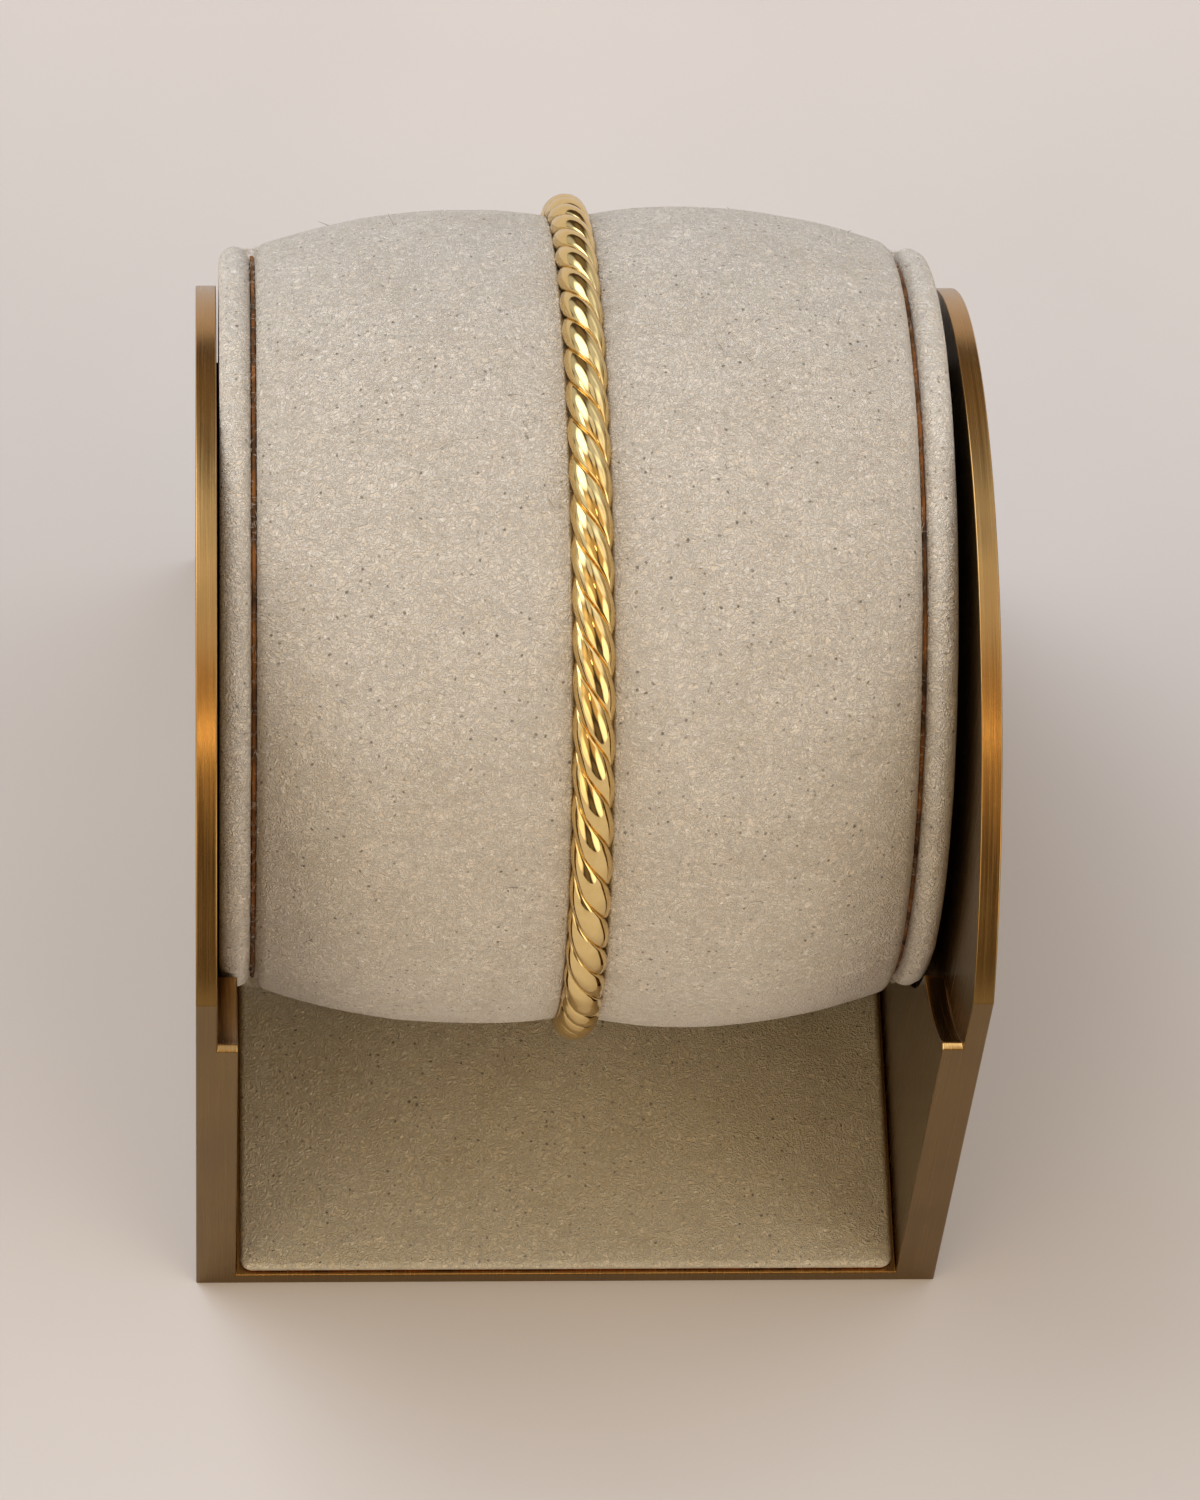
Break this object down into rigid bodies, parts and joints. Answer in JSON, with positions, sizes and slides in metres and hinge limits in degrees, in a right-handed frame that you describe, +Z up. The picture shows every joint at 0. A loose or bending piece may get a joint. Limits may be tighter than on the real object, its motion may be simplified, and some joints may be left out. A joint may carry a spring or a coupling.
{
  "type": "twisted wire bangle on display stand",
  "caption": "Closed bangle of twisted gold wire around a crowned suede roll, held between the round pockets of a plain two-plate metal stand with a suede base pad.",
  "frame": {"origin": "centre of the stand's underside, on the surface it stands on", "axes": "X runs along the roll from the left side plate to the right one, -Y is the front, +Z is up"},
  "size_m": [0.06, 0.0733, 0.0721],
  "materials": {
    "bronze": "antique bronze, fine upright brushing, satin",
    "suede": "cream suede with a short soft nap",
    "raw_leather": "cut edge of raw brown leather",
    "gold": "polished yellow gold"
  },
  "bodies": {
    "root": {"cradle": "bronze", "base_pad": "suede", "roll_cushion": "suede", "end_board_left": "raw_leather", "end_board_right": "raw_leather", "end_disc_left": "suede", "end_disc_right": "suede", "bangle": "gold"}
  },
  "joints": []
}
